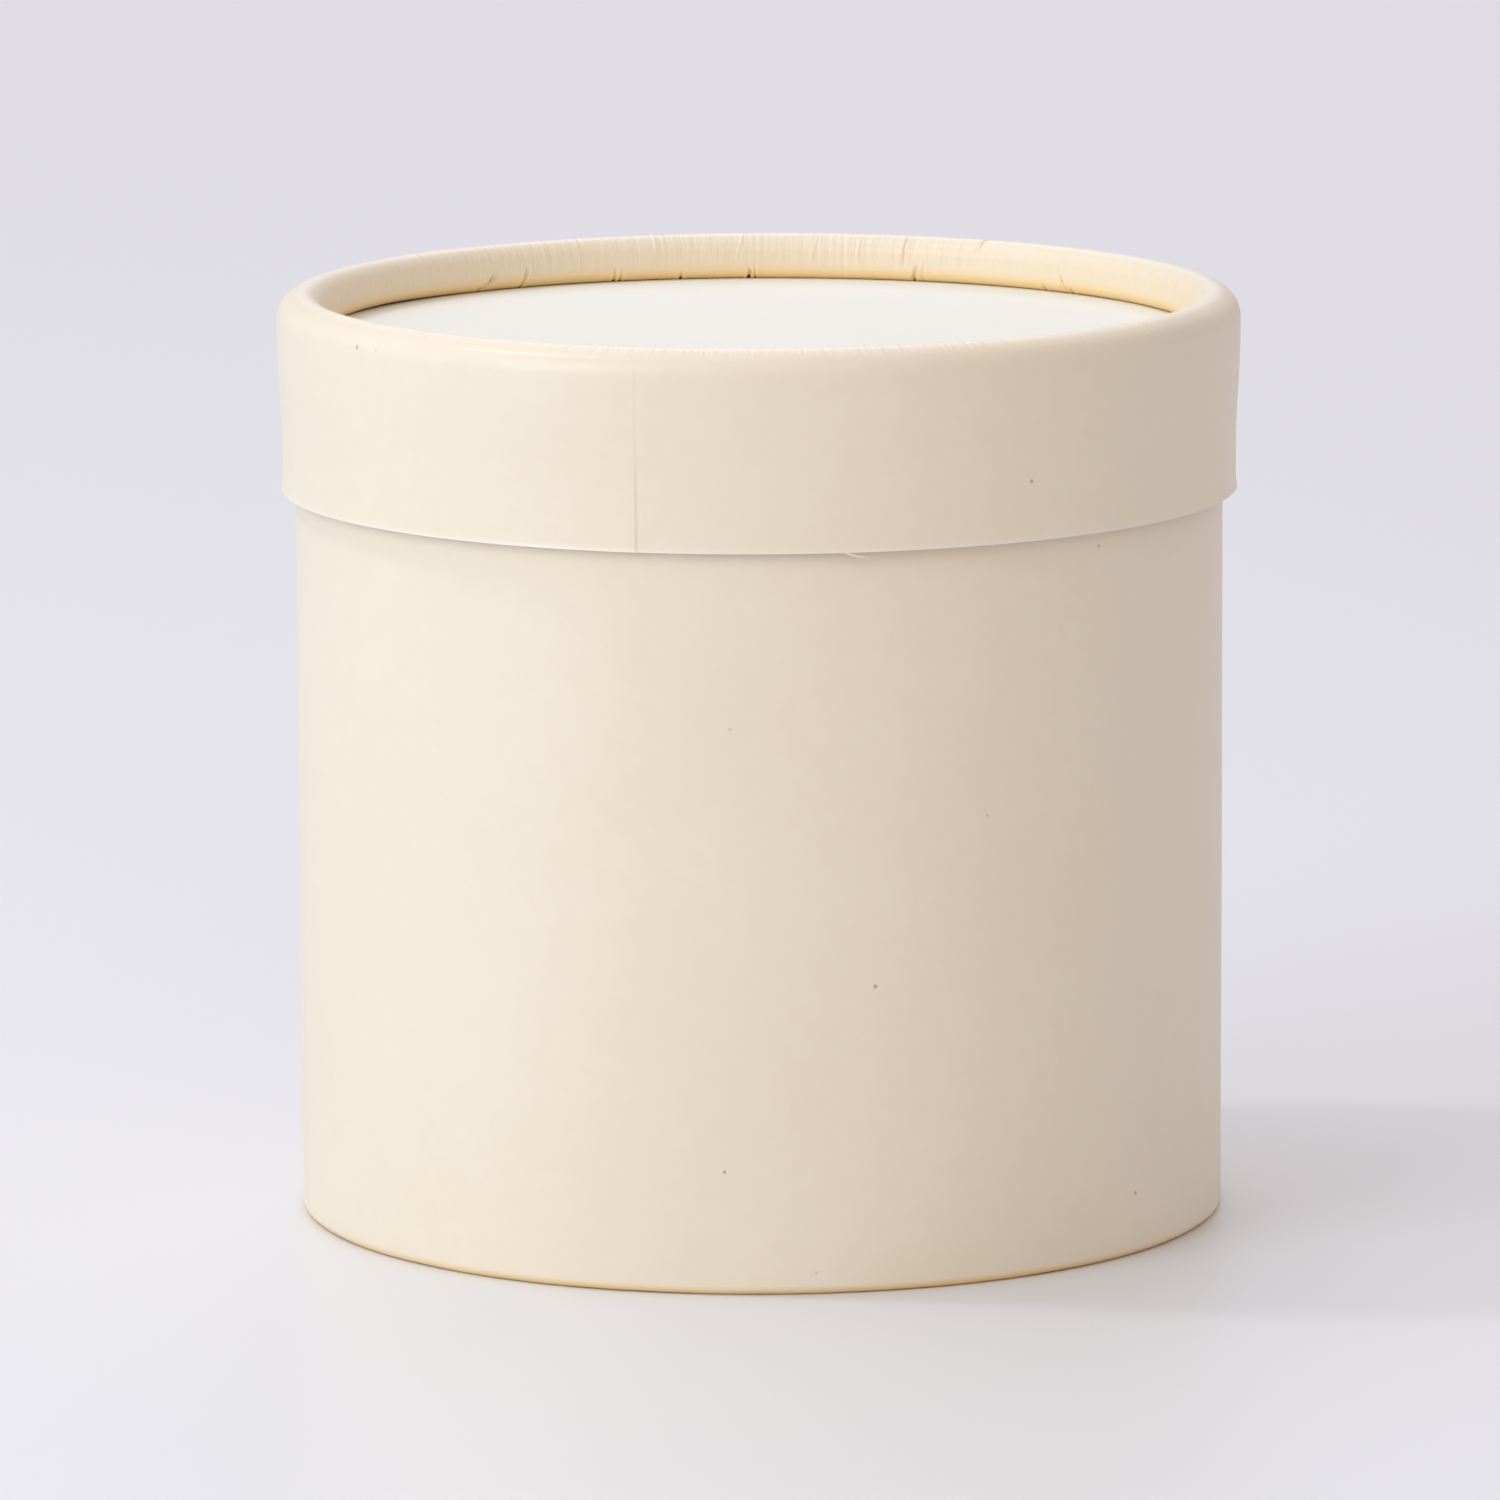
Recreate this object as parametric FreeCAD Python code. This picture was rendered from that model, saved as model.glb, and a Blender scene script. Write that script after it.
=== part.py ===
"""Round rolled-edge paper box with a lift-off lid.

Everything is a figure of revolution about +Z, in millimetres. The origin is the centre of the
circle that the box stands on. Each wall is a stack of layers: the cover paper outside, the board
tube whose edge is curled in, a plain inner board tube and the liner paper. A layer's place in the
stack is its depth below the outer surface, and the curled edge is the same path at each depth.
"""
import FreeCAD, Part
import math
import os

# driving dimensions
box_r = 75.0             # outside of the box's wall, cover paper included
overall_h = 150.0        # floor to the crest of the lid's rim, lid closed

cover_t = 0.20           # outer wrap paper
lining_t = 0.15          # thinner paper inside the box and on both faces of the panels
panel_t = 1.80           # board of the two round panels
box_outer_board_t = 1.00
box_inner_board_t = 0.80
lid_outer_board_t = 0.85
lid_inner_board_t = 0.55
lid_clearance = 0.35     # radial gap between the box's wall and the inside of the lid

# the bottom edge of the box is turned in tightly, over a flat ring that it stands on
base_curl_r = 1.5
base_flat_w = 3.0
base_tuck_r = 1.8        # the end of the curl turns back under the base panel
base_recess = 7.0        # the base panel's underside above the floor
base_panel_gap = 0.10    # between the base panel's rim and the tube round it

# the lid's rim is curled in more widely, and its panel lies in the recess
rim_outer_curl_r = 4.3
rim_inner_curl_r = 3.1
rim_tuck_r = 1.8         # the end of the curl turns back over the lid's panel
rim_recess = 7.35        # the lid panel's top below the crest
rim_swell = 0.7          # the curl spreads the tube by this much
swell_top_drop = 5.5     # below the crest, where the wall is widest
swell_foot_drop = 26.0   # below the crest, where the wall is straight again
lid_h = 31.8             # crest to the lid's lower edge
lid_panel_gap = 0.30     # between the lid panel's rim and the tube round it

# what follows from them
lid_wall_t = cover_t + lid_outer_board_t + lid_inner_board_t + lining_t
lid_r = box_r + lid_clearance + lid_wall_t
rim_r = lid_r + rim_swell
crest_r = rim_r - rim_outer_curl_r
lid_low_z = overall_h - lid_h
lid_panel_top_z = overall_h - rim_recess
lid_board_top_z = lid_panel_top_z - lining_t
lid_board_low_z = lid_board_top_z - panel_t
box_top_z = lid_board_low_z - lining_t    # the closed lid rests here, on the box's top edge
base_board_low_z = base_recess + lining_t
base_board_top_z = base_board_low_z + panel_t
box_floor_z = base_board_top_z + lining_t


def point(r, z):
    return FreeCAD.Vector(r, 0, z)


def line(start, end):
    return Part.LineSegment(point(*start), point(*end)).toShape()


def arc(centre, radius, start_deg, end_deg):
    """Arc about centre, from one angle to the other, measured from +r towards +z."""
    def at(deg):
        a = math.radians(deg)
        return point(centre[0] + radius * math.cos(a), centre[1] + radius * math.sin(a))
    return Part.Arc(at(start_deg), at((start_deg + end_deg) / 2), at(end_deg)).toShape()


def revolved(edges):
    face = Part.Face(Part.Wire(edges))
    solid = face.revolve(point(0, 0), FreeCAD.Vector(0, 0, 1), 360)
    if solid.Volume < 0:
        solid.reverse()
    return solid


def curled_layer(path, outer_depth, inner_depth):
    """Solid between the same path at two depths below the outer surface."""
    outside = path(outer_depth)
    inside = path(inner_depth)
    far_end = Part.LineSegment(outside[-1].Vertexes[-1].Point, inside[-1].Vertexes[-1].Point)
    near_end = Part.LineSegment(inside[0].Vertexes[0].Point, outside[0].Vertexes[0].Point)
    edges = outside + [far_end.toShape()] + inside[::-1] + [near_end.toShape()]
    return revolved(Part.sortEdges(edges)[0])


def tube(outer_r, thickness, low_z, high_z):
    inner_r = outer_r - thickness
    corners = [(outer_r, low_z), (outer_r, high_z), (inner_r, high_z), (inner_r, low_z)]
    return revolved([line(a, b) for a, b in zip(corners, corners[1:] + corners[:1])])


def disc(radius, low_z, thickness):
    return Part.makeCylinder(radius, thickness, point(0, low_z), FreeCAD.Vector(0, 0, 1))


def lid_path(depth):
    """Lid wall from its lower edge up, over the curled rim and down until the curl meets the panel.

    The swell is two arcs of one radius that meet halfway, upright at both ends.
    """
    foot_z = overall_h - swell_foot_drop
    top_z = overall_h - swell_top_drop
    rise = top_z - foot_z
    swell_arc_r = (rise ** 2 + rim_swell ** 2) / (4 * rim_swell)
    swell_deg = math.degrees(math.asin(rise / 2 / swell_arc_r))
    outer_centre_z = overall_h - rim_outer_curl_r
    inner_centre_z = overall_h - rim_inner_curl_r
    leg_r = crest_r - rim_inner_curl_r
    tuck_z = lid_panel_top_z + rim_tuck_r
    return [
        line((lid_r - depth, lid_low_z), (lid_r - depth, foot_z)),
        arc((lid_r + swell_arc_r, foot_z), swell_arc_r + depth, 180, 180 - swell_deg),
        arc((rim_r - swell_arc_r, top_z), swell_arc_r - depth, -swell_deg, 0),
        line((rim_r - depth, top_z), (rim_r - depth, outer_centre_z)),
        arc((crest_r, outer_centre_z), rim_outer_curl_r - depth, 0, 90),
        arc((crest_r, inner_centre_z), rim_inner_curl_r - depth, 90, 180),
        line((leg_r + depth, inner_centre_z), (leg_r + depth, tuck_z)),
        arc((leg_r + rim_tuck_r, tuck_z), rim_tuck_r - depth, 180, 270),
    ]


def box_path(depth):
    """Box wall from its top edge down, round the bottom and up until the curl meets the base."""
    outer_centre_r = box_r - base_curl_r
    inner_centre_r = outer_centre_r - base_flat_w
    leg_r = inner_centre_r - base_curl_r
    tuck_z = base_recess - base_tuck_r
    return [
        line((box_r - depth, box_top_z), (box_r - depth, base_curl_r)),
        arc((outer_centre_r, base_curl_r), base_curl_r - depth, 0, -90),
        line((outer_centre_r, depth), (inner_centre_r, depth)),
        arc((inner_centre_r, base_curl_r), base_curl_r - depth, -90, -180),
        line((leg_r + depth, base_curl_r), (leg_r + depth, tuck_z)),
        arc((leg_r + base_tuck_r, tuck_z), base_tuck_r - depth, -180, -270),
    ]


def lid_parts():
    board_depth = cover_t + lid_outer_board_t
    inner_r = lid_r - board_depth
    liner_r = inner_r - lid_inner_board_t
    panel_r = rim_r - board_depth - lid_panel_gap
    return {
        "lid_cover_paper": curled_layer(lid_path, 0, cover_t),
        "lid_outer_tube": curled_layer(lid_path, cover_t, board_depth),
        "lid_inner_tube": tube(inner_r, lid_inner_board_t, lid_low_z, box_top_z),
        "lid_liner_paper": tube(liner_r, lining_t, lid_low_z, box_top_z),
        "lid_facing_paper": disc(panel_r, lid_board_top_z, lining_t),
        "lid_disc": disc(panel_r, lid_board_low_z, panel_t),
        "lid_lining_paper": disc(panel_r, box_top_z, lining_t),
    }


def box_parts():
    board_depth = cover_t + box_outer_board_t
    inner_r = box_r - board_depth
    liner_r = inner_r - box_inner_board_t
    panel_r = inner_r - base_panel_gap
    return {
        "body_cover_paper": curled_layer(box_path, 0, cover_t),
        "body_outer_tube": curled_layer(box_path, cover_t, board_depth),
        "body_inner_tube": tube(inner_r, box_inner_board_t, box_floor_z, box_top_z),
        "body_liner_paper": tube(liner_r, lining_t, box_floor_z, box_top_z),
        "base_facing_paper": disc(panel_r, base_recess, lining_t),
        "base_disc": disc(panel_r, base_board_low_z, panel_t),
        "base_lining_paper": disc(panel_r, base_board_top_z, lining_t),
    }


os.makedirs("parts", exist_ok=True)
for node, shape in {**lid_parts(), **box_parts()}.items():
    if not (shape.isValid() and shape.isClosed() and len(shape.Solids) == 1):
        raise RuntimeError(node + " is not one closed solid")
    shape.exportStep("parts/" + node + ".step")
    print(node, round(shape.Volume, 1), "mm3")
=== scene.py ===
import math

import bpy
import numpy as np
from mathutils import Matrix, Vector


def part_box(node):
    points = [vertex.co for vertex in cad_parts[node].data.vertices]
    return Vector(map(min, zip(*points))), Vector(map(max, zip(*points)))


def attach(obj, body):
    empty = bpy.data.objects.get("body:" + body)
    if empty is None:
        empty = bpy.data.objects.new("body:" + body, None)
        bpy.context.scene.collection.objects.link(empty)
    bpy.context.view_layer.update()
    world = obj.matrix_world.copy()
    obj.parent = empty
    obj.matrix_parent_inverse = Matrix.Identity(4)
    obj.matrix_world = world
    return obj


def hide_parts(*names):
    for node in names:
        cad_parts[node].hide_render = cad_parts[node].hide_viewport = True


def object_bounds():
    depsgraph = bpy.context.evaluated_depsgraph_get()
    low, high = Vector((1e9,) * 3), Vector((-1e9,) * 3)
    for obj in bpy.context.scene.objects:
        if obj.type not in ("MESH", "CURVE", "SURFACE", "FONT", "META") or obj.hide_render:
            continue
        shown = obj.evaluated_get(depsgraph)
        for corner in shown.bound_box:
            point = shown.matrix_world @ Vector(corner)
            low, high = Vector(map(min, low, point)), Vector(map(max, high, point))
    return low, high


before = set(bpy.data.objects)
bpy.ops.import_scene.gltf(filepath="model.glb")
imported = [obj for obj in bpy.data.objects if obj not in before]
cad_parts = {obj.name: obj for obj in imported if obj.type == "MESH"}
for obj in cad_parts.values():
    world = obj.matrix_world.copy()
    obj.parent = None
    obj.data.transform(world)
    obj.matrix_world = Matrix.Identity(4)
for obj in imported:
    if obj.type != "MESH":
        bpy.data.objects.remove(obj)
cadLow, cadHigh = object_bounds()

mm = 0.001
tau = 2 * math.pi

# the heights and radii that every layer shares, read from the frame and kept in millimetres
lidCoverLow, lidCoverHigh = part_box("lid_cover_paper")
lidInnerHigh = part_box("lid_inner_tube")[1]
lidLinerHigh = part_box("lid_liner_paper")[1]
lidFacingLow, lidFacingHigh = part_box("lid_facing_paper")
lidDiscLow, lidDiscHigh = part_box("lid_disc")
lidLiningLow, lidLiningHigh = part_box("lid_lining_paper")
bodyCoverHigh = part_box("body_cover_paper")[1]
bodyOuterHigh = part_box("body_outer_tube")[1]
bodyInnerLow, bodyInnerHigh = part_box("body_inner_tube")
bodyLinerLow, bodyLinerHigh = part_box("body_liner_paper")
baseFacingLow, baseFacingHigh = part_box("base_facing_paper")
baseDiscLow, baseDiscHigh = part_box("base_disc")
baseLiningLow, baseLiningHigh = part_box("base_lining_paper")

sizes = {
    "rimRadius": lidCoverHigh.x / mm,        # the lid's widest, round its rolled rim
    "lidTop": lidCoverHigh.z / mm,
    "lidLow": lidCoverLow.z / mm,
    "panelTop": lidFacingHigh.z / mm,        # the sunk top panel
    "bodyRadius": bodyCoverHigh.x / mm,
    "bodyTop": bodyCoverHigh.z / mm,
    "basePanelLow": baseFacingLow.z / mm,    # the sunk underside
    "coverPaper": (bodyCoverHigh.x - bodyOuterHigh.x) / mm,
    "linerPaper": (lidFacingHigh.z - lidFacingLow.z) / mm,
}

# how the rim and the foot are rolled, in millimetres
rimRoll = {
    "swell": 0.7,            # the rim stands this much proud of the lid's wall
    "swellTop": 5.5,         # the swell ends this far below the top
    "swellFoot": 26.0,       # and starts this far below the top
    "outerCurl": 4.3,
    "innerCurl": 3.1,
    "tuck": 1.8,             # the leg turns back under itself, onto the panel
    "tuckTurn": 90.0,
}
footRoll = {
    "curl": 1.5,
    "flat": 3.0,             # the ring the box stands on
    "tuck": 1.8,
    "tuckTurn": 90.0,
}


# a straight run of points from one place to another
def lineRun(start, end, count):
    share = np.linspace(0, 1, count)[:, None]
    return np.array(start) * (1 - share) + np.array(end) * share


# a run round a centre, from one angle in degrees to another
def arcRun(centre, radius, start, end, count):
    turn = np.radians(np.linspace(start, end, count))
    return np.stack([centre[0] + radius * np.cos(turn), centre[1] + radius * np.sin(turn)], 1)


# runs laid end to end, with each meeting point kept once
def joinRuns(*runs):
    kept = [run if n == 0 else run[1:] for n, run in enumerate(runs)]
    return np.concatenate(kept)


# the lid's section at a depth below its outer face: up the swelling wall, over the rolled rim,
# down the inner leg and back under itself; two arcs of one radius make the swell
def lidSection(depth, fineness):
    top = sizes["lidTop"]
    wall = sizes["rimRadius"] - rimRoll["swell"]
    rise = rimRoll["swellFoot"] - rimRoll["swellTop"]
    bend = (rise ** 2 + rimRoll["swell"] ** 2) / (4 * rimRoll["swell"])
    lean = math.degrees(math.asin(rise / 2 / bend))
    foot = top - rimRoll["swellFoot"]
    crestRadius = sizes["rimRadius"] - rimRoll["outerCurl"]
    outerCentre = (crestRadius, top - rimRoll["outerCurl"])
    innerCentre = (crestRadius, top - rimRoll["innerCurl"])
    leg = crestRadius - rimRoll["innerCurl"]
    legEnd = sizes["panelTop"] + rimRoll["tuck"]
    tuckCentre = (leg + rimRoll["tuck"], legEnd)
    tuckEnd = 180 + rimRoll["tuckTurn"]
    points = lambda share: max(2, round(share * fineness))
    return joinRuns(
        lineRun((wall - depth, sizes["lidLow"]), (wall - depth, sizes["lidLow"] + 1.2), points(6)),
        lineRun((wall - depth, sizes["lidLow"] + 1.2), (wall - depth, foot), points(5)),
        arcRun((wall + bend, foot), bend + depth, 180, 180 - lean, points(5)),
        arcRun((sizes["rimRadius"] - bend, top - rimRoll["swellTop"]), bend - depth, -lean, 0, points(6)),
        lineRun((sizes["rimRadius"] - depth, top - rimRoll["swellTop"]),
                (sizes["rimRadius"] - depth, outerCentre[1]), 2),
        arcRun(outerCentre, rimRoll["outerCurl"] - depth, 0, 90, points(14)),
        arcRun(innerCentre, rimRoll["innerCurl"] - depth, 90, 180, points(12)),
        lineRun((leg + depth, innerCentre[1]), (leg + depth, legEnd), points(6)),
        arcRun(tuckCentre, rimRoll["tuck"] - depth, 180, tuckEnd, points(9)),
    )


# the box's section at a depth: down the straight wall, round the foot, up the inner leg and back under itself
def bodySection(depth, fineness):
    radius = sizes["bodyRadius"]
    curl = footRoll["curl"]
    leg = radius - 2 * curl - footRoll["flat"]
    outerCentre = (radius - curl, curl)
    innerCentre = (radius - curl - footRoll["flat"], curl)
    legEnd = sizes["basePanelLow"] - footRoll["tuck"]
    tuckCentre = (leg + footRoll["tuck"], legEnd)
    points = lambda share: max(2, round(share * fineness))
    return joinRuns(
        lineRun((radius - depth, sizes["bodyTop"]), (radius - depth, sizes["lidLow"]), points(5)),
        lineRun((radius - depth, sizes["lidLow"]), (radius - depth, curl + 2), points(26)),
        lineRun((radius - depth, curl + 2), (radius - depth, curl), points(3)),
        arcRun(outerCentre, curl - depth, 0, -90, points(12)),
        lineRun((outerCentre[0], depth), (innerCentre[0], depth), 2),
        arcRun(innerCentre, curl - depth, -90, -180, points(9)),
        lineRun((leg + depth, curl), (leg + depth, legEnd), points(3)),
        arcRun(tuckCentre, footRoll["tuck"] - depth, 180, 180 - footRoll["tuckTurn"], points(7)),
    )


# the outward direction of each point of a section, square to the line through its two neighbours;
# side is 1 where the section climbs its outer face and -1 where it comes down it
def outwardOf(section, side):
    along = np.gradient(section, axis=0)
    square = np.stack([along[:, 1], -along[:, 0]], 1) * side
    return square / np.linalg.norm(square, axis=1)[:, None]


# angles that crowd round the given places: the share of angles up to each place is summed from an
# even spread and a bell at each place, and the whole is read backwards
def crowdedAngles(count, places, width, crowd):
    fine = np.linspace(0, tau, 20001)
    density = np.ones_like(fine)
    for place in places:
        away = np.angle(np.exp(1j * (fine - place)))
        density += crowd * np.exp(-(away / width) ** 2)
    total = np.concatenate([[0], np.cumsum((density[1:] + density[:-1]) / 2)])
    return np.interp(np.linspace(0, total[-1], count, endpoint=False), total, fine)


# slow waves round the ring: cosines of rising count and falling size, whose crests lean with the height
def slowWaves(angle, height, seed, counts, size):
    draw = np.random.default_rng(seed)
    total = 0 * angle * height
    for count in counts:
        phase, lean = draw.uniform(0, tau), draw.uniform(-0.12, 0.12)
        total = total + np.cos(count * angle + phase + lean * height) / count ** 0.5
    return size * total


def smoothStep(low, high, value):
    share = np.clip((value - low) / (high - low), 0, 1)
    return share * share * (3 - 2 * share)


# how far round the ring an angle lies from a place, in millimetres at that radius
def roundFrom(angle, place, radius):
    return np.angle(np.exp(1j * (angle - place))) * radius


# the step of an overlap: a ramp up to its edge and a sharp fall after it, in millimetres round the ring
def overlapStep(aside, ramp, edge):
    return np.where(aside < 0, np.exp(np.minimum(aside, 0) / ramp), 1 - smoothStep(0, edge, aside))


# rows of points, each a ring, joined to their neighbours by squares; a closed one joins its last row
# to its first, and an open one ends in a pole at the middle of each end row
def ringMesh(name, points, closed, marks=None):
    rows, turns = points.shape[:2]
    index = np.arange(rows * turns).reshape(rows, turns)
    lower = index if closed else index[:-1]
    upper = np.roll(index, -1, axis=0) if closed else index[1:]
    squares = np.stack([lower, np.roll(lower, -1, 1), np.roll(upper, -1, 1), upper], -1).reshape(-1, 4)
    corners = points.reshape(-1, 3)
    faces = squares.tolist()
    if not closed:
        poles = np.stack([points[0].mean(0), points[-1].mean(0)])
        corners = np.concatenate([corners, poles])
        first, last = index[0], index[-1]
        faces += np.stack([np.roll(first, -1), first, np.full(turns, len(corners) - 2)], 1).tolist()
        faces += np.stack([last, np.roll(last, -1), np.full(turns, len(corners) - 1)], 1).tolist()
    mesh = bpy.data.meshes.new(name)
    mesh.from_pydata((corners * mm).tolist(), [], faces)
    mesh.polygons.foreach_set("use_smooth", np.ones(len(faces), bool))
    mesh.set_sharp_from_angle(angle=math.radians(50))
    for markName, values in (marks or {}).items():
        spread = np.zeros(len(corners), np.float32)
        spread[:rows * turns] = np.broadcast_to(values, (rows, turns)).ravel()
        mesh.attributes.new(markName, "FLOAT", "POINT").data.foreach_set("value", spread)
    mesh.update()
    piece = bpy.data.objects.new(name, mesh)
    bpy.context.scene.collection.objects.link(piece)
    return piece


# a layer of the rolled wall: the section at the layer's outer depth and the one at its inner depth
# make a closed outline, each point moved along its outward direction by the relief there
def rolledLayer(name, section, side, depths, fineness, angles, relief, marks=None):
    turnAngles = angles[None, :]
    faces, spread = [], {mark: [] for mark in marks or {}}
    for depth, fine in zip(depths, fineness):
        flat = section(depth, fine)
        outward = outwardOf(flat, side)
        turned = int(np.argmax(flat[:, 1] * side))
        innerSide = (np.arange(len(flat)) > turned)[:, None]
        radius, height = flat[:, :1], flat[:, 1:]
        rise = relief(turnAngles, radius, height, innerSide, depth)
        ringRadius = radius + outward[:, :1] * rise
        ringHeight = height + outward[:, 1:] * rise
        faces.append(np.stack([ringRadius * np.cos(turnAngles), ringRadius * np.sin(turnAngles),
                               ringHeight + 0 * turnAngles], -1))
        for mark in spread:
            spread[mark].append(marks[mark](turnAngles, radius, height, innerSide))
    turnAbout = lambda pair: np.concatenate([pair[0], pair[1][::-1]])[::side * -1]
    return ringMesh(name, turnAbout(faces), True, {mark: turnAbout(pair) for mark, pair in spread.items()})


# a round sheet between two heights: rings out along the top and back under, with waves in the height
def roundSheet(name, low, high, radius, rings, turns, waves):
    angle = np.linspace(0, tau, turns, endpoint=False)[None, :]
    outward = (radius * (np.arange(1, rings + 1) / rings) ** 0.8)[:, None]
    sag = waves(angle, outward)
    upper = np.stack([outward * np.cos(angle), outward * np.sin(angle), high + sag], -1)
    lower = np.stack([outward * np.cos(angle), outward * np.sin(angle), low + sag], -1)
    return ringMesh(name, np.concatenate([lower, upper[::-1]]), False)


# a length of tube between two radii and two heights, with a slightly uneven cut at its ends
def plainTube(name, inner, outer, low, high, turns, seed, uneven=0.02):
    angle = np.linspace(0, tau, turns, endpoint=False)[None, :]
    heights = np.concatenate([np.linspace(low, high, 9), np.linspace(high, low, 9)])[:, None]
    radii = np.concatenate([np.full(9, outer), np.full(9, inner)])[:, None]
    edge = np.isclose(heights, low) * -1.0 + np.isclose(heights, high) * 1.0
    cut = -edge * np.abs(slowWaves(angle, heights, seed, (3, 11, 29, 47), uneven))
    rows = np.stack([radii * np.cos(angle), radii * np.sin(angle), heights + cut], -1)
    return ringMesh(name, rows[::-1], True)


print("frame read:", {name: round(value, 2) for name, value in sizes.items()})

lidPaper = {
    "turns": 1000,
    "fineness": (1.05, 0.36),       # points along the outer and the inner face of the sheet
    "waves": 0.022,                 # millimetres
    "seamDegrees": 255.5,           # where the strip's end overlaps its start
    "seamStep": 0.17,
    "seamRamp": 6.0,
    "seamEdge": 0.22,
    "seamTop": 0.3,                 # the share of the step that is left near the crest
    "lipFlare": 0.23,               # the cut edge stands out a little
    "lipReach": 0.55,
    "lipHighlight": 0.35,                # how far up the lip the painted highlight reaches, and how strong it is
    "lipHighlightShare": 0.45,
    "crestHighlight": 0.15,              # the same for the crest, measured down from its top
    "crestHighlightShare": 0.42,
    "tuckLift": 0.22,               # the tuck stands off the panel round one place
    "tuckPlace": -58,               # degrees round from the rear middle
    "tuckSpread": 0.24,             # radians
    "boardSink": 1.25,              # the board sinks more than the paper does at a pleat
    "boardGap": 0.02,
    "spareCreases": 26,             # drawn from the seed, round the front half of the rim
    "seed": 41,
}

# pleats of the paper on the rim's inner leg: degrees round from the rear middle at the pleat's foot and
# at its head, where it starts and ends between the panel (0) and the crest (1), how far it is sunk or
# raised and how wide it is, in millimetres
rimPleats = [
    (-40.8, -38.2, 0.00, 0.38, -0.60, 0.36),
    (-33.8, -33.0, 0.00, 0.40, -0.46, 0.36),
    (-19.8, -19.8, 0.00, 0.24, -0.30, 0.32),
    (-19.0, -18.8, 0.00, 0.18, -0.23, 0.30),
    (-14.2, -14.0, 0.48, 1.02, 0.10, 0.24),
    (-10.5, -10.5, 0.00, 0.12, -0.34, 0.32),
    (-2.9, -2.2, 0.50, 0.96, 0.10, 0.24),
    (-1.3, -1.1, 0.00, 0.20, -0.50, 0.34),
    (-0.5, -0.4, 0.02, 0.30, -0.20, 0.24),
    (7.2, 7.9, 0.48, 0.92, 0.08, 0.24),
    (11.7, 11.7, 0.20, 0.80, -0.06, 0.26),
    (13.6, 13.8, 0.45, 0.85, 0.08, 0.24),
    (20.1, 20.3, 0.42, 0.96, -0.26, 0.24),
    (21.4, 22.0, 0.03, 0.32, -0.46, 0.34),
    (22.8, 23.2, 0.05, 0.40, -0.15, 0.34),
    (31.6, 31.3, 0.70, 1.04, -0.16, 0.24),
    (30.5, 31.0, 0.66, 0.98, 0.12, 0.24),
    (42.0, 42.0, 0.00, 0.10, -0.42, 0.34),
    (46.1, 45.2, 0.08, 0.36, -0.46, 0.32),
    (46.9, 46.9, 0.00, 0.10, -0.38, 0.34),
    (-54.8, -54.0, 0.66, 1.05, -0.04, 0.24),
    (-51.4, -51.0, 0.70, 1.05, 0.04, 0.24),
    (-46.3, -45.8, 0.70, 1.05, -0.06, 0.24),
    (-43.4, -43.1, 0.66, 1.00, 0.04, 0.24),
    (-31.8, -31.5, 0.72, 1.04, -0.06, 0.24),
    (-25.0, -24.4, 0.70, 1.02, -0.06, 0.24),
]


# pleats for the rest of the rim, at drawn places from the right side round the front to the left
def sparePleats():
    draw = np.random.default_rng(lidPaper["seed"])
    pleats = []
    for place in np.linspace(62, 298, lidPaper["spareCreases"]):
        foot = place + draw.uniform(-3.5, 3.5)
        start = draw.choice([0.0, 0.0, 0.45, 0.7])
        reach = draw.uniform(0.15, 0.4)
        depth = draw.uniform(0.05, 0.24) * (-1 if start < 0.4 else draw.choice([-0.5, 0.45]))
        head = foot + draw.uniform(-1.6, 1.6)
        wide = draw.uniform(0.22, 0.34)
        pleats.append((foot, head, start, start + reach, depth, wide))
    return pleats


allPleats = rimPleats + sparePleats()


def rearAngle(degrees):
    return math.radians(90 - degrees)


# the lid paper's relief: slow waves, a ramp up to the overlap and a sharp step down after it, an edge
# that flares, and pleats, each a wavelet across its own line and fading at its two ends
def lidRelief(angle, radius, height, innerSide, depth):
    top, low, panel = sizes["lidTop"], sizes["lidLow"], sizes["panelTop"]
    rise = slowWaves(angle, height, lidPaper["seed"], (3, 5, 8, 13, 21, 34), lidPaper["waves"])
    rise = rise * smoothStep(low - 2, low + 6, height) - lidPaper["waves"]
    aside = roundFrom(angle, math.radians(lidPaper["seamDegrees"]), radius)
    ramp = overlapStep(aside, lidPaper["seamRamp"], lidPaper["seamEdge"])
    belowCrest = (1 - innerSide) * smoothStep(0, 6, top - height)
    lowDown = lidPaper["seamTop"] + (1 - lidPaper["seamTop"]) * smoothStep(12, 26, top - height)
    rise = rise + lidPaper["seamStep"] * ramp * belowCrest * lowDown
    lip = np.exp(-(height - low) / lidPaper["lipReach"]) * (1 - innerSide)
    rise = rise + lidPaper["lipFlare"] * lip * (0.8 + 0.3 * np.cos(angle))
    share = (height - panel) / (top - panel)
    for foot, head, start, end, sunk, wide in allPleats:
        along = np.clip((share - start) / (end - start), 0, 1)
        centre = rearAngle(foot) + (rearAngle(head) - rearAngle(foot)) * along
        across = roundFrom(angle, centre, radius) / wide
        fade = 1 - smoothStep(end - 0.06, end + 0.10, share)
        reach = smoothStep(start - 0.10, start + 0.02, share) * fade
        reach = np.where(innerSide, reach, 0.0) if end < 0.98 else reach * smoothStep(0.55, 0.9, share)
        rise = rise + sunk * (1 - 0.8 * across ** 2) * np.exp(-across ** 2 / 1.6) * reach
    tuckZone = np.where(innerSide, 1 - smoothStep(0.0, 0.22, share), 0.0)
    tuckAside = roundFrom(angle, rearAngle(lidPaper["tuckPlace"]), 1.0)
    rise = rise - lidPaper["tuckLift"] * tuckZone * np.exp(-(tuckAside / lidPaper["tuckSpread"]) ** 2)
    return rise if depth < sizes["coverPaper"] * 1.5 else np.minimum(rise, 0)


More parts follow.
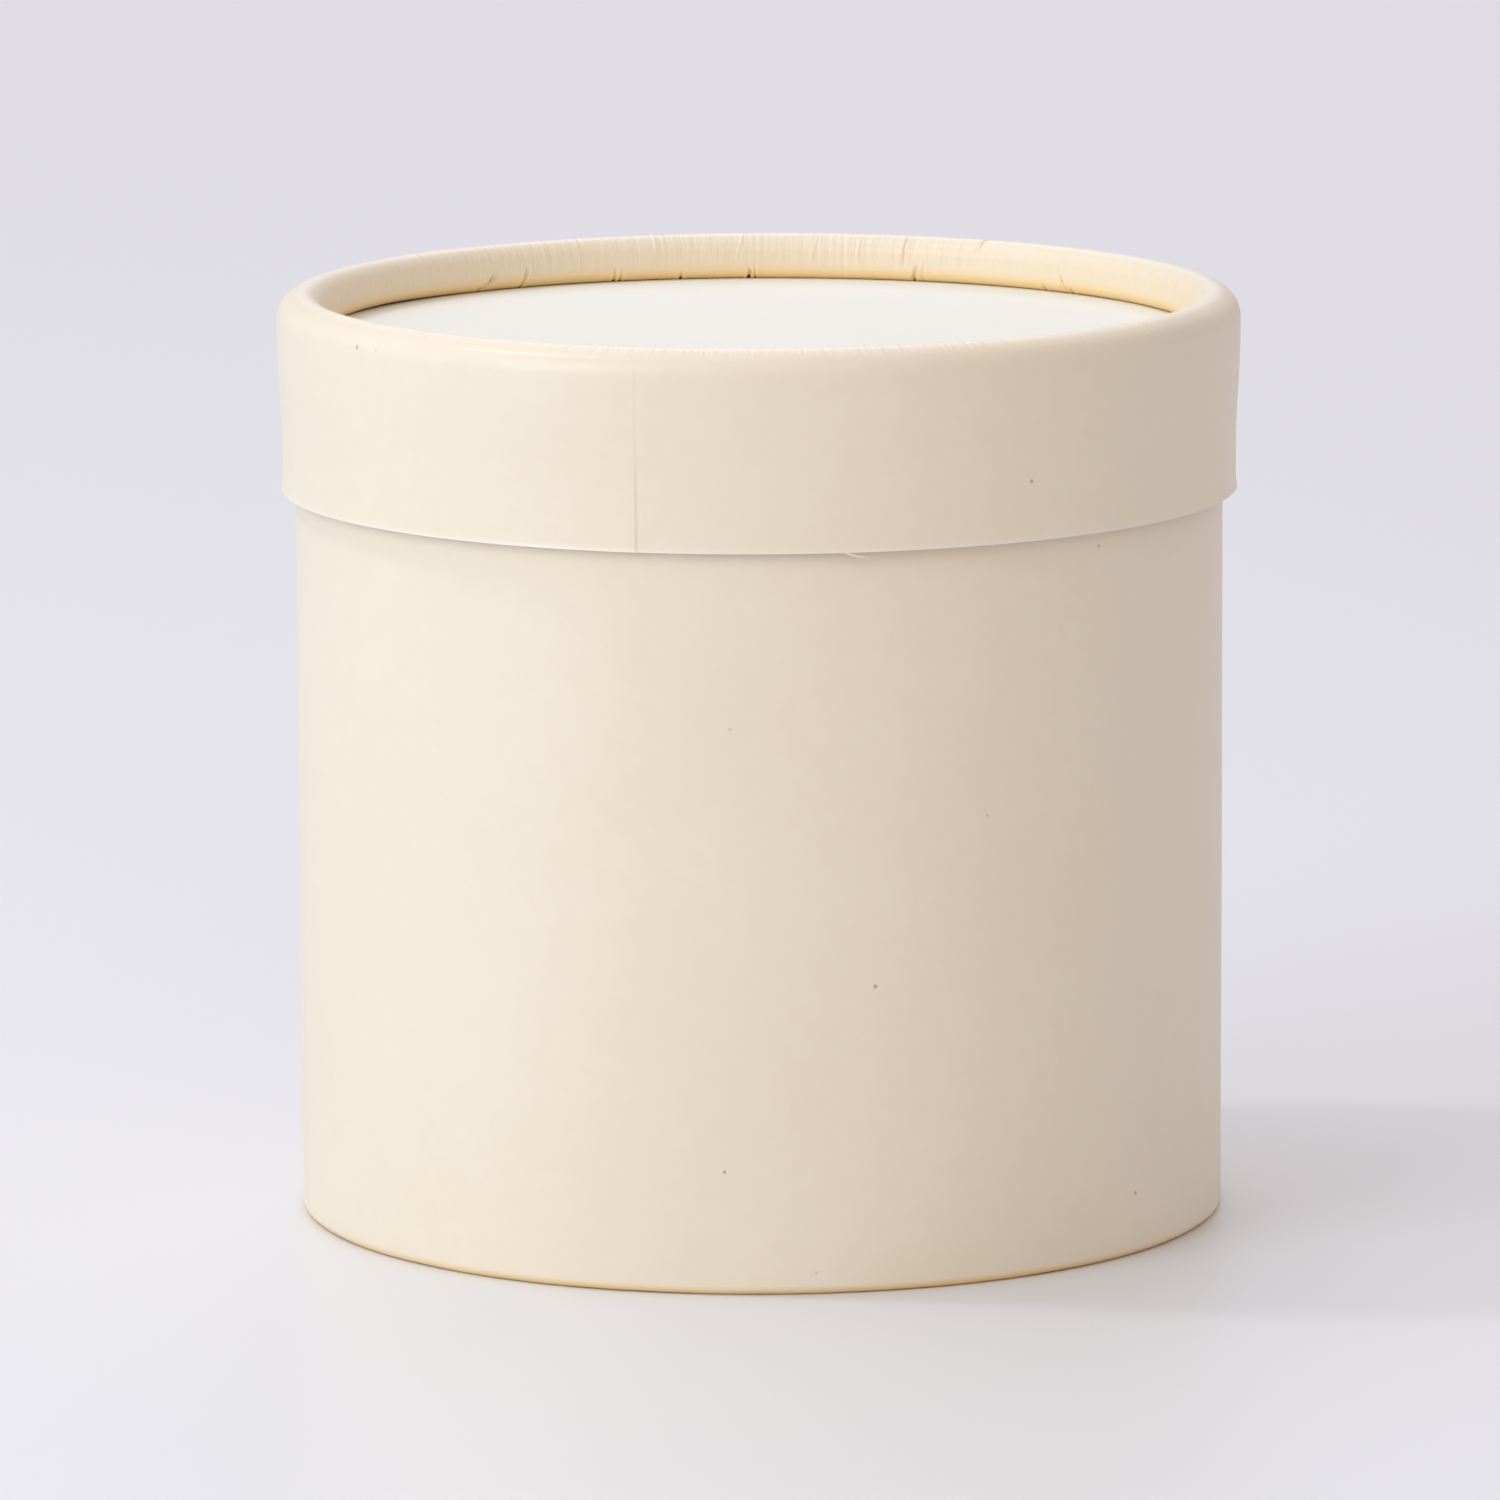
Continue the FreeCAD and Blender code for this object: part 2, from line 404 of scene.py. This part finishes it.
# the board under it follows the hollows of the paper and sinks a little more, so that it stays hidden
def boardRelief(*where):
    return lidPaper["boardSink"] * np.minimum(lidRelief(*where), 0) - lidPaper["boardGap"]


# a warm bounce light is painted into the paper where the sheet is bent hard into the corner by the panel, and
# faintly up the inner leg
def lidPaintedBounce(angle, radius, height, innerSide):
    share = (height - sizes["panelTop"]) / (sizes["lidTop"] - sizes["panelTop"])
    corner = np.where(innerSide, 1 - smoothStep(0.05, 0.42, share), 0.0)
    leg = np.where(innerSide, 1 - smoothStep(0.75, 1.0, share), 0.0)
    return 0.84 * corner + 0.16 * leg + 0 * angle


# it is gathered on the inner leg and over the crest, and smooth again a little way down the outside
def lidGather(angle, radius, height, innerSide):
    drop = sizes["lidTop"] - height
    return np.where(innerSide, 1 - smoothStep(3.0, 6.5, drop), 1 - smoothStep(0.1, 1.6, drop)) + 0 * angle


# and a highlight is painted in, paler, in a thin line along the crest and at the cut edge, where the paper
# catches grazing gloss and light
def lidPaintedHighlight(angle, radius, height, innerSide):
    crest = np.exp(-((sizes["lidTop"] - height) / lidPaper["crestHighlight"]) ** 2)
    crest = crest * (lidPaper["crestHighlightShare"] + slowWaves(angle, 0 * height, 17, (7, 16, 37), 0.05))
    lip = np.exp(-(height - sizes["lidLow"]) / lidPaper["lipHighlight"]) * (1 - innerSide)
    return crest + lidPaper["lipHighlightShare"] * lip + 0 * angle


def makeLidLayers():
    pleatPlaces = [rearAngle((pleat[0] + pleat[1]) / 2) for pleat in allPleats]
    places = pleatPlaces + [math.radians(lidPaper["seamDegrees"])]
    angles = crowdedAngles(lidPaper["turns"], places, 0.012, 5.0)
    paper = sizes["coverPaper"]
    wrap = rolledLayer("lidWrapPaper", lidSection, 1, (0, paper), lidPaper["fineness"], angles, lidRelief,
                       {"paintedBounce": lidPaintedBounce, "gather": lidGather, "paintedHighlight": lidPaintedHighlight})
    board = sizes["rimRadius"] - rimRoll["swell"] - lidInnerHigh.x / mm
    tube = rolledLayer("lidOuterTube", lidSection, 1, (paper + 0.01, board), (0.6, 0.4),
                       crowdedAngles(420, pleatPlaces, 0.015, 2.0), boardRelief)
    linerFace = lidLinerHigh.x / mm - sizes["linerPaper"]
    tubeFace = lidLinerHigh.x / mm
    top = lidInnerHigh.z / mm
    inner = plainTube("lidInnerTube", tubeFace, lidInnerHigh.x / mm - 0.01, sizes["lidLow"], top, 360, 5)
    liner = plainTube("lidLinerPaper", linerFace, tubeFace - 0.005, sizes["lidLow"] + 0.02, top, 360, 6, 0.01)
    return wrap, tube, inner, liner


sheetWaves = {"panel": 0.028, "linings": 0.03}


# a sheet's own unevenness: waves round and across it that die away at its rim
def sheetRipple(size, seed, radius):
    def ripple(angle, outward):
        x, y = outward * np.cos(angle), outward * np.sin(angle)
        draw = np.random.default_rng(seed)
        total = 0 * x
        for wavelength in (71, 43, 29, 19, 13):
            heading, phase = draw.uniform(0, tau), draw.uniform(0, tau)
            run = x * math.cos(heading) + y * math.sin(heading)
            total = total + np.cos(tau * run / wavelength + phase) * (wavelength / 71) ** 0.8
        return size * total * (1 - smoothStep(radius - 6, radius, outward)) - 0.4 * size
    return ripple


# the ripple of a board, which is none
def levelSheet(angle, outward):
    return 0 * angle * outward


def makeLidSheets():
    radius = lidFacingHigh.x / mm
    ripple = sheetRipple(sheetWaves["panel"], 11, radius - 4)
    facing = roundSheet("lidPanelPaper", lidFacingLow.z / mm + 0.02, lidFacingHigh.z / mm,
                        radius, 90, 360, ripple)
    disc = roundSheet("lidDisc", lidDiscLow.z / mm, lidDiscHigh.z / mm - 0.1,
                      lidDiscHigh.x / mm, 12, 180, levelSheet)
    liningRadius = lidLiningHigh.x / mm
    ripple = sheetRipple(sheetWaves["linings"], 12, liningRadius)
    lining = roundSheet("lidLiningPaper", lidLiningLow.z / mm, lidLiningHigh.z / mm - 0.02,
                        liningRadius, 60, 300, ripple)
    return facing, disc, lining


bodyPaper = {
    "turns": 760,
    "fineness": (1.0, 0.5),
    "waves": 0.03,
    "seamDegrees": 97.0,
    "seamStep": 0.16,
    "seamRamp": 6.0,
    "seamEdge": 0.25,
    "footLift": 0.06,               # the foot touches the ground unevenly
    "footPleats": 44,
    "seed": 73,
}


# pleats of the paper on the foot's inner leg, at drawn places all round
def footPleats():
    draw = np.random.default_rng(bodyPaper["seed"] + 1)
    pleats = []
    for place in np.linspace(0, 360, bodyPaper["footPleats"], endpoint=False):
        pleats.append((math.radians(place + draw.uniform(-3, 3)), draw.uniform(-0.02, 0.02),
                       draw.uniform(1.2, 5.0), -draw.uniform(0.06, 0.22), draw.uniform(0.25, 0.4)))
    return pleats


# the box paper's relief: slow waves on the wall, an overlap at the back, a foot that lifts a hair off
# the ground here and there, and pleats on the inner leg
def bodyRelief(angle, radius, height, innerSide, depth):
    wall = slowWaves(angle, height, bodyPaper["seed"], (3, 5, 8, 13, 21, 31), bodyPaper["waves"])
    rise = (wall - bodyPaper["waves"]) * smoothStep(0.5, 9, height)
    aside = roundFrom(angle, math.radians(bodyPaper["seamDegrees"]), radius)
    ramp = overlapStep(aside, bodyPaper["seamRamp"], bodyPaper["seamEdge"])
    rise = rise + bodyPaper["seamStep"] * ramp * (1 - innerSide) * smoothStep(1, 5, height)
    nearGround = 1 - smoothStep(0.2, 2.2, height)
    hollow = np.abs(slowWaves(angle, 0 * height, bodyPaper["seed"] + 2, (4, 9, 17, 38, 61), 1.0))
    rise = rise - bodyPaper["footLift"] * hollow * nearGround * (1 - innerSide)
    for place, lean, reach, sunk, wide in footPleats():
        across = roundFrom(angle, place + lean * height, radius) / wide
        fade = smoothStep(0.2, 1.5, height) * (1 - smoothStep(reach, reach + 1.5, height))
        rise = rise + np.where(innerSide, sunk * np.exp(-across ** 2) * fade, 0)
    return rise if depth < sizes["coverPaper"] * 1.5 else np.minimum(rise, 0)


# a warm bounce light from the ground is painted where the sheet turns under at the foot
def bodyPaintedBounce(angle, radius, height, innerSide):
    foot = np.where(innerSide, 0.6, 1 - smoothStep(0.5, 1.6, height))
    uneven = 0.85 + slowWaves(angle, 0 * height, 91, (7, 19, 43), 0.12)
    return foot * np.clip(uneven, 0.4, 1.2)


def makeBodyLayers():
    paper = sizes["coverPaper"]
    places = [math.radians(bodyPaper["seamDegrees"])] + [pleat[0] for pleat in footPleats()]
    angles = crowdedAngles(bodyPaper["turns"], places, 0.010, 3.0)
    wrap = rolledLayer("bodyWrapPaper", bodySection, -1, (0, paper), bodyPaper["fineness"], angles,
                       bodyRelief, {"paintedBounce": bodyPaintedBounce})
    board = sizes["bodyRadius"] - bodyInnerHigh.x / mm
    tube = rolledLayer("bodyOuterTube", bodySection, -1, (paper + 0.01, board), (0.5, 0.4),
                       np.linspace(0, tau, 420, endpoint=False), bodyRelief)
    tubeFace, linerFace = bodyLinerHigh.x / mm, bodyLinerHigh.x / mm - sizes["linerPaper"]
    top = sizes["bodyTop"]
    inner = plainTube("bodyInnerTube", tubeFace, bodyInnerHigh.x / mm - 0.01, bodyInnerLow.z / mm, top,
                      360, 7)
    liner = plainTube("bodyLinerPaper", linerFace, tubeFace - 0.005, bodyLinerLow.z / mm, top - 0.02,
                      360, 8, 0.01)
    return wrap, tube, inner, liner


def makeBaseSheets():
    radius = baseFacingHigh.x / mm
    ripple = sheetRipple(sheetWaves["linings"], 21, radius - 3)
    facing = roundSheet("baseFacingPaper", baseFacingLow.z / mm, baseFacingHigh.z / mm - 0.02,
                        radius, 60, 300, ripple)
    disc = roundSheet("baseDisc", baseDiscLow.z / mm + 0.1, baseDiscHigh.z / mm - 0.1,
                      baseDiscHigh.x / mm, 12, 180, levelSheet)
    liningRadius = baseLiningHigh.x / mm
    ripple = sheetRipple(sheetWaves["linings"], 22, liningRadius)
    lining = roundSheet("baseLiningPaper", baseLiningLow.z / mm + 0.02, baseLiningHigh.z / mm,
                        liningRadius, 60, 300, ripple)
    return facing, disc, lining


shred = {
    "startDegrees": 279.1,          # a thread of torn paper that hangs from the lid's cut edge
    "endDegrees": 282.9,
    "drop": 1.3,
    "halfWidth": 0.17,
    "halfThick": 0.07,
    "standOff": 0.12,
}


# a thread along the lid's lower edge: its centre line turns evenly and falls ever faster, with a slight
# wave, and its oval section is widest at the middle
def makeShred():
    share = np.linspace(0, 1, 40)[:, None]
    ring = np.linspace(0, tau, 12, endpoint=False)[None, :]
    start, end = math.radians(shred["startDegrees"]), math.radians(shred["endDegrees"])
    angle = start + (end - start) * share
    middle = sizes["lidLow"] + 0.1 - shred["drop"] * share ** 1.3 + 0.08 * np.sin(9 * share)
    body = 0.25 + 0.75 * np.sin(math.pi * np.clip(share, 0.02, 0.98)) ** 0.7
    wall = sizes["rimRadius"] - rimRoll["swell"] + shred["standOff"]
    radius = wall + shred["halfThick"] * body * np.cos(ring)
    height = middle + shred["halfWidth"] * body * np.sin(ring)
    rows = np.stack([radius * np.cos(angle), radius * np.sin(angle), height], -1)
    return ringMesh("lidShred", rows[::-1], False)


lidWrap, lidTube, lidInner, lidLiner = makeLidLayers()
lidPanel, lidBoard, lidLining = makeLidSheets()
bodyWrap, bodyTube, bodyInner, bodyLiner = makeBodyLayers()
baseFacing, baseBoard, baseLining = makeBaseSheets()
lidThread = makeShred()
print("pieces shaped")


# a socket that takes part in sums: each operator adds its own Math or Vector Math node
class Wire:
    def __init__(self, mixture, socket):
        self.mixture = mixture
        self.socket = socket

    def sum(self, operation, first, second):
        sockets = [side.socket for side in (first, second) if isinstance(side, Wire)]
        vector = any(socket.type == "VECTOR" for socket in sockets)
        if vector:
            spread = lambda side: (side,) * 3 if isinstance(side, (int, float)) else side
            first, second = spread(first), spread(second)
        kind = "ShaderNodeVectorMath" if vector else "ShaderNodeMath"
        return self.mixture.node(kind, {"operation": operation}, {0: first, 1: second})

    def __add__(self, other):
        return self.sum("ADD", self, other)

    def __radd__(self, other):
        return self.sum("ADD", other, self)

    def __sub__(self, other):
        return self.sum("SUBTRACT", self, other)

    def __rsub__(self, other):
        return self.sum("SUBTRACT", other, self)

    def __mul__(self, other):
        return self.sum("MULTIPLY", self, other)

    def __rmul__(self, other):
        return self.sum("MULTIPLY", other, self)

    def __truediv__(self, other):
        return self.sum("DIVIDE", self, other)

    def __pow__(self, other):
        return self.sum("POWER", self, other)


# one finish: its node tree, and the few ways of adding to it
class Mixture:
    def __init__(self, name):
        self.material = bpy.data.materials.new(name)
        self.material.use_nodes = True
        self.tree = self.material.node_tree
        self.tree.nodes.clear()

    def node(self, kind, settings, sockets, output=0):
        made = self.tree.nodes.new(kind)
        for setting, value in settings.items():
            setattr(made, setting, value)
        for socket, value in sockets.items():
            if isinstance(value, Wire):
                self.tree.links.new(value.socket, made.inputs[socket])
            else:
                made.inputs[socket].default_value = value
        return Wire(self, made.outputs[output])

    def place(self):
        return self.node("ShaderNodeTexCoord", {}, {}, "Object")

    def mark(self, name):
        return self.node("ShaderNodeAttribute", {"attribute_name": name}, {}, "Fac")

    def noise(self, place, scale, detail=2.0, rough=0.5):
        sockets = {"Vector": place, "Scale": scale, "Detail": detail, "Roughness": rough}
        return self.node("ShaderNodeTexNoise", {}, sockets)

    def step(self, value, low, high):
        sockets = {"Value": value, "From Min": low, "From Max": high, "To Min": 0.0, "To Max": 1.0}
        return self.node("ShaderNodeMapRange", {"interpolation_type": "SMOOTHSTEP"}, sockets)

    def near(self, place, point, reach):
        away = self.node("ShaderNodeVectorMath", {"operation": "DISTANCE"}, {0: place, 1: point}, "Value")
        return 1 - self.step(away, 0.35 * reach, reach)

    def parts(self, place):
        apart = self.node("ShaderNodeSeparateXYZ", {}, {"Vector": place}).socket.node
        return [Wire(self, apart.outputs[axis]) for axis in "XYZ"]

    def blend(self, share, first, second, way="MIX"):
        settings = {"data_type": "RGBA", "blend_type": way}
        return self.node("ShaderNodeMix", settings, {0: share, 6: first, 7: second}, 2)

    def bump(self, height, distance, strength=1.0, below=None):
        sockets = {"Height": height, "Distance": distance, "Strength": strength}
        if below:
            sockets["Normal"] = below
        return self.node("ShaderNodeBump", {}, sockets)

    def finish(self, sockets):
        shader = self.node("ShaderNodeBsdfPrincipled", {}, sockets)
        output = self.tree.nodes.new("ShaderNodeOutputMaterial")
        self.tree.links.new(shader.socket, output.inputs["Surface"])
        return self.material


# the warm tint of each finish is the colour of a painted warm bounce light
paperFinishes = {
    "cover": {
        "colour": (0.842, 0.730, 0.562, 1), "pale": (0.862, 0.758, 0.600, 1), "bounceTint": (0.90, 0.64, 0.29, 1),
        # the cover's pale worn tint is the colour of a painted highlight
        "fleck": (0.42, 0.30, 0.18, 1), "highlightTint": (0.91, 0.87, 0.80, 1), "rough": 0.38, "tooth": 0.020,
        "wrinkle": 0.30,
    },
    "panel": {
        "colour": (0.842, 0.824, 0.748, 1), "pale": (0.858, 0.843, 0.770, 1), "bounceTint": (0.79, 0.68, 0.52, 1),
        "fleck": (0.56, 0.50, 0.41, 1), "rough": 0.55, "tooth": 0.018,
    },
    "lining": {
        "colour": (0.80, 0.75, 0.66, 1), "pale": (0.85, 0.81, 0.73, 1), "bounceTint": (0.72, 0.60, 0.43, 1),
        "fleck": (0.52, 0.42, 0.31, 1), "rough": 0.90, "tooth": 0.028,
    },
}


# how fine each pattern of the paper is, and how deep its cockles are, in millimetres
grain = {
    "clouds": 26.0,
    "mottle": 330.0,
    "tooth": 2600.0,
    "flecks": 190.0,
    "fleckGroups": 95.0,
    "fleckShare": 0.35,
    "speckShare": 0.75,
    "cockles": 150.0,
    "cockleDepth": 0.06,
    "wrinklesRound": 55.0,
    "wrinklesUp": 60.0,
}

# single specks in the cover paper: degrees round, height and radius of the surface there, and how
# wide the speck is, in millimetres
specks = [
    (215.4, 146.6, 77.7, 0.50), (303.5, 127.6, 77.1, 0.45), (315.4, 115.6, 75.0, 0.40),
    (283.8, 49.0, 75.0, 0.50), (265.5, 19.8, 75.0, 0.42), (322.6, 10.2, 75.0, 0.45),
    (38.0, 88.0, 75.0, 0.45), (131.0, 61.0, 75.0, 0.50), (96.0, 133.0, 77.1, 0.40),
]


# paper: broad clouds and fine mottle in the colour, a painted warm bounce light where the sheet is marked for
# it, a painted highlight, paler, where it is marked for one, sparse flecks, a slightly uneven sheen, and a
# relief of soft cockles under a fine tooth, with upright wrinkles where it is marked as gathered
def paperFinish(name, choice):
    paper = paperFinishes[choice]
    mix = Mixture(name)
    place = mix.place()
    clouds = mix.noise(place, grain["clouds"], 2.0, 0.55)
    mottle = mix.noise(place, grain["mottle"], 3.0, 0.55)
    tooth = mix.noise(place, grain["tooth"], 2.0, 0.6)
    tone = mix.step(clouds * 0.45 + mottle * 0.4 + tooth * 0.15, 0.30, 0.70)
    colour = mix.blend(tone, paper["colour"], paper["pale"])
    # painted warm bounce light: the colour turns to the warm tint where the sheet is marked for it
    colour = mix.blend(mix.mark("paintedBounce") * (0.82 + 0.36 * mottle), colour, paper["bounceTint"])
    if choice == "cover":
        # painted highlight: the colour turns paler along the crest and the cut lip, where the sheet is marked
        # for it
        colour = mix.blend(mix.mark("paintedHighlight"), colour, paper["highlightTint"])
    scatter = {"Vector": place, "Scale": grain["flecks"], "Randomness": 1.0}
    cells = mix.node("ShaderNodeTexVoronoi", {}, scatter, "Distance")
    chosen = mix.step(mix.noise(place, grain["fleckGroups"], 1.0), 0.62, 0.70)
    fleck = (1 - mix.step(cells, 0.035, 0.075)) * chosen
    colour = mix.blend(fleck * grain["fleckShare"], colour, paper["fleck"])
    for degrees, height, radius, wide in specks if choice == "cover" else []:
        turn = math.radians(degrees)
        point = (radius * mm * math.cos(turn), radius * mm * math.sin(turn), height * mm)
        colour = mix.blend(mix.near(place, point, wide * mm) * grain["speckShare"], colour, paper["fleck"])
    rough = paper["rough"] + 0.10 * (mottle - 0.5) + 0.05 * (clouds - 0.5)
    relief = mix.bump(mix.noise(place, grain["cockles"], 1.0), grain["cockleDepth"] * mm)
    relief = mix.bump(mottle * 0.6 + tooth * 0.4, paper["tooth"] * mm, below=relief)
    if choice == "cover":
        east, north, upward = mix.parts(place)
        turn = mix.node("ShaderNodeMath", {"operation": "ARCTAN2"}, {0: north, 1: east})
        lanes = {"X": turn * grain["wrinklesRound"], "Y": upward * grain["wrinklesUp"]}
        lane = mix.node("ShaderNodeCombineXYZ", {}, lanes)
        wrinkles = mix.noise(lane, 1.0, 3.0, 0.65)
        relief = mix.bump(wrinkles * mix.mark("gather"), paper["wrinkle"] * mm, below=relief)
    return mix.finish({
        "Base Color": colour, "Roughness": rough, "Normal": relief,
        "Specular IOR Level": 0.5,
    })


boardGrain = {"fibres": 900.0, "clumps": 120.0, "depth": 0.06}    # depth in millimetres, as is each ply
boardFinishes = {
    "tube": {"dark": (0.36, 0.28, 0.20, 1), "light": (0.56, 0.46, 0.35, 1), "ply": 0.22},
    "disc": {"dark": (0.40, 0.33, 0.25, 1), "light": (0.60, 0.51, 0.41, 1), "ply": 0.30},
}


# board: plies seen as fine lines, in rings on a tube and in level layers in a disc, over pulpy fibres
def boardFinish(name, choice):
    board = boardFinishes[choice]
    mix = Mixture(name)
    place = mix.place()
    fibres = mix.noise(place, boardGrain["fibres"], 4.0, 0.65)
    clumps = mix.noise(place, boardGrain["clumps"], 2.0)
    east, north, upward = mix.parts(place)
    reach = (east * east + north * north) ** 0.5 if choice == "tube" else upward
    turns = reach * (tau / (board["ply"] * mm)) + (clumps - 0.5) * 2.4
    lines = mix.node("ShaderNodeMath", {"operation": "SINE"}, {0: turns}) * 0.5 + 0.5
    tone = mix.step(lines * 0.35 + fibres * 0.45 + clumps * 0.2, 0.25, 0.75)
    colour = mix.blend(tone, board["dark"], board["light"])
    relief = mix.bump(lines * 0.4 + fibres * 0.6, boardGrain["depth"] * mm)
    return mix.finish({
        "Base Color": colour, "Roughness": 0.86 + 0.12 * fibres, "Normal": relief, "Specular IOR Level": 0.2,
    })


coverPaper = paperFinish("creamCoverPaper", "cover")
panelPaper = paperFinish("creamPanelPaper", "panel")
liningPaper = paperFinish("liningPaper", "lining")
tubeBoard = boardFinish("tubeBoard", "tube")
discBoard = boardFinish("discBoard", "disc")

pieceTable = [
    (lidWrap, "lid", "lid_cover_paper", "cream_cover_paper", coverPaper),
    (lidTube, "lid", "lid_outer_tube", "tube_board", tubeBoard),
    (lidInner, "lid", "lid_inner_tube", "tube_board", tubeBoard),
    (lidLiner, "lid", "lid_liner_paper", "lining_paper", liningPaper),
    (lidPanel, "lid", "lid_facing_paper", "cream_panel_paper", panelPaper),
    (lidBoard, "lid", "lid_disc", "panel_board", discBoard),
    (lidLining, "lid", "lid_lining_paper", "lining_paper", liningPaper),
    (lidThread, "lid", None, "cream_cover_paper", coverPaper),
    (bodyWrap, "box", "body_cover_paper", "cream_cover_paper", coverPaper),
    (bodyTube, "box", "body_outer_tube", "tube_board", tubeBoard),
    (bodyInner, "box", "body_inner_tube", "tube_board", tubeBoard),
    (bodyLiner, "box", "body_liner_paper", "lining_paper", liningPaper),
    (baseFacing, "box", "base_facing_paper", "cream_cover_paper", coverPaper),
    (baseBoard, "box", "base_disc", "panel_board", discBoard),
    (baseLining, "box", "base_lining_paper", "lining_paper", liningPaper),
]
for piece, body, node, slotName, material in pieceTable:
    piece.data.materials.append(material)
    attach(piece, body)
    if node:
        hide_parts(node)
print("finishes laid on", len(pieceTable), "pieces")

ground = {"half": 4.0, "colour": (0.82, 0.82, 0.84, 1), "rough": 0.34, "patches": 9.0, "darker": 0.985}


# the ground: one big sheet at the height the box stands on, a little glossy, with faint unevenness
def makeGround():
    half, level = ground["half"], cadLow.z
    mesh = bpy.data.meshes.new("ground")
    corners = [(-half, -half, level), (half, -half, level), (half, half, level), (-half, half, level)]
    mesh.from_pydata(corners, [], [(0, 1, 2, 3)])
    sheet = bpy.data.objects.new("ground", mesh)
    bpy.context.scene.collection.objects.link(sheet)
    mix = Mixture("groundWhite")
    patches = mix.noise(mix.place(), ground["patches"], 3.0)
    darker = tuple(ground["darker"] * part for part in ground["colour"][:3]) + (1,)
    rough = ground["rough"] + 0.05 * (patches - 0.5)
    mesh.materials.append(mix.finish({
        "Base Color": mix.blend(patches, ground["colour"], darker), "Roughness": rough,
        "Specular IOR Level": 0.45,
    }))


lamps = {
    "key": {"place": (-0.94, 0.08, 1.58), "size": 0.12, "power": 4.45,
            "tint": (0.919, 0.959, 1.0)},
    "left": {"place": (-1.6, 0.0, 0.9), "size": 1.2, "power": 3.04,
             "tint": (0.507, 0.767, 1.0)},
    "leftFront": {"place": (-1.2, -1.2, 0.9), "size": 1.0, "power": 8.89,
                  "tint": (0.957, 0.99, 1.0)},
    "leftLow": {"place": (-1.3, -0.9, 0.35), "size": 0.5, "power": 3.23,
                "tint": (0.531, 0.763, 1.0)},
    "front": {"place": (0.3, -2.3, 1.2), "size": 1.4, "power": 4.44,
              "tint": (1.0, 0.788, 0.24)},
    "overhead": {"place": (-0.4, 0.5, 1.9), "size": 1.4, "power": 4.32,
                 "tint": (1.0, 0.986, 0.978)},
    "farRear": {"place": (0.0, 2.4, 1.9), "aim": (0.0, 2.0, 0.0), "size": 1.6, "power": 14.78,
                "tint": (0.989, 0.959, 1.0)},
}
surround = {"tint": (0.977, 0.942, 1.0), "strength": 0.600}


# square soft lamps that point at the middle of the box, or at a place of their own, in an even surround
def makeLamps():
    middle = (cadLow + cadHigh) / 2
    for name, lamp in lamps.items():
        light = bpy.data.lights.new(name, "AREA")
        light.shape = "SQUARE"
        light.size = lamp["size"]
        light.energy = lamp["power"]
        light.color = lamp["tint"]
        holder = bpy.data.objects.new(name, light)
        holder.location = lamp["place"]
        aim = Vector(lamp["aim"]) if "aim" in lamp else middle
        holder.rotation_euler = (aim - holder.location).to_track_quat("-Z", "Y").to_euler()
        bpy.context.scene.collection.objects.link(holder)
    world = bpy.data.worlds.new("surround")
    world.use_nodes = True
    sky = world.node_tree.nodes["Background"]
    sky.inputs["Color"].default_value = surround["tint"] + (1,)
    sky.inputs["Strength"].default_value = surround["strength"]
    bpy.context.scene.world = world


viewpoint = {
    "distance": 1.845,       # metres from the box's axis, and above the ground
    "height": 0.3843,
    "downward": 9.534,       # degrees
    "aside": 0.052,
    "roll": -0.229,
    "lens": 276.26,          # millimetres, on a 36 mm square
}


def makeCamera():
    camera = bpy.data.cameras.new("camera")
    camera.lens = viewpoint["lens"]
    camera.sensor_width = 36
    camera.clip_end = 30
    holder = bpy.data.objects.new("camera", camera)
    turn = Matrix.Rotation(math.radians(viewpoint["aside"]), 4, "Z")
    tilt = Matrix.Rotation(math.radians(90 - viewpoint["downward"]), 4, "X")
    roll = Matrix.Rotation(math.radians(viewpoint["roll"]), 4, "Z")
    spot = Matrix.Translation((0, -viewpoint["distance"], viewpoint["height"]))
    holder.matrix_world = spot @ turn @ tilt @ roll
    bpy.context.scene.collection.objects.link(holder)
    bpy.context.scene.camera = holder


makeGround()
makeLamps()
makeCamera()
bpy.context.scene.view_settings.view_transform = "Standard"
print("studio set")
